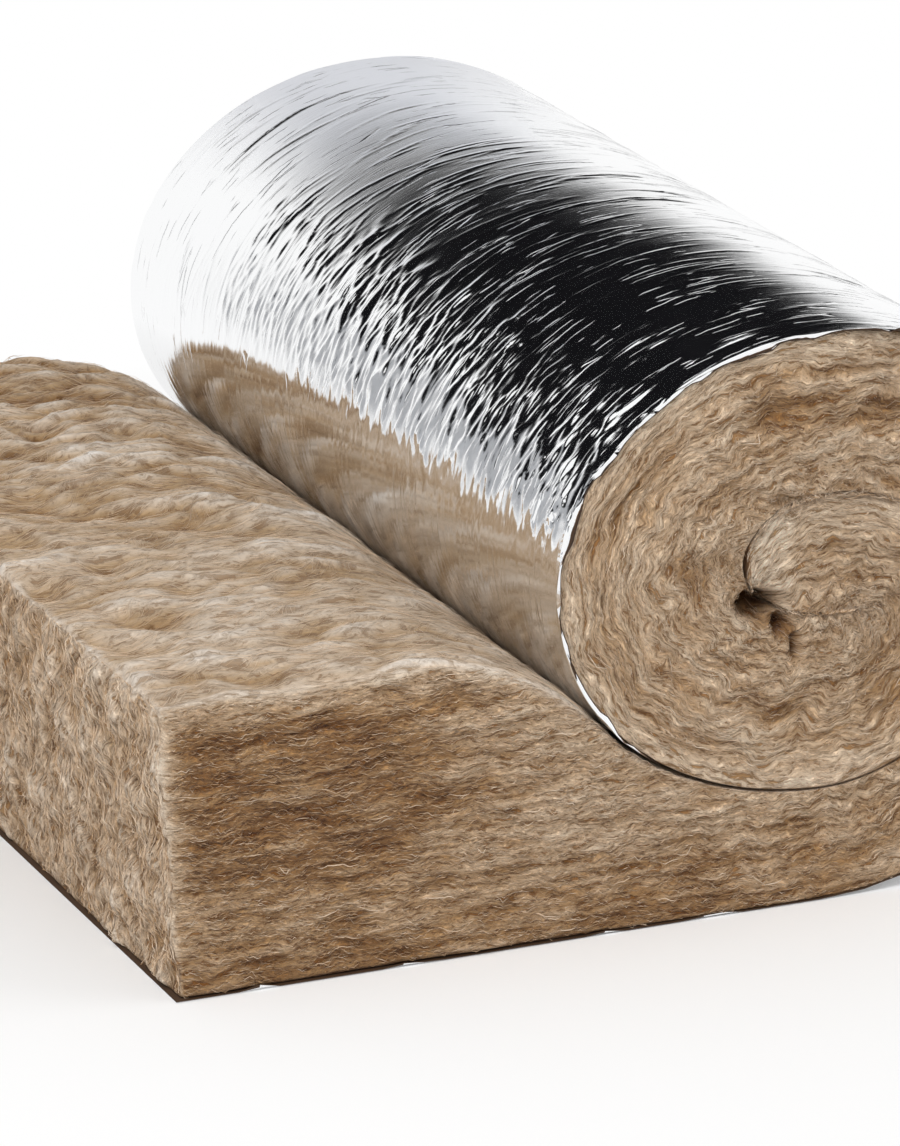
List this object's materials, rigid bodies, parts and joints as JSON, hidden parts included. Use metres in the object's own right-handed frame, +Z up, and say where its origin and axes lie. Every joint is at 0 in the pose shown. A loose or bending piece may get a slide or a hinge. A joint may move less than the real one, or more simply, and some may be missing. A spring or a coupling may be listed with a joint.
{
  "type": "insulation roll",
  "caption": "Part-unrolled glass wool blanket with a crinkled aluminium foil facing, its loose roll resting on its own flat tail",
  "frame": {"origin": "on the floor, at the middle of the footprint's box", "axes": "+X along the blanket from the tail's cut end to the roll, +Y along the roll's axis, +Z up; the tail lies foil side down on the floor"},
  "size_m": [0.5389, 0.606, 0.31],
  "materials": {
    "glass_wool": "matte fibrous",
    "foil": "bright creased foil"
  },
  "bodies": {
    "root": {"wool_blanket": "glass_wool", "foil_facing": "foil"}
  },
  "joints": []
}
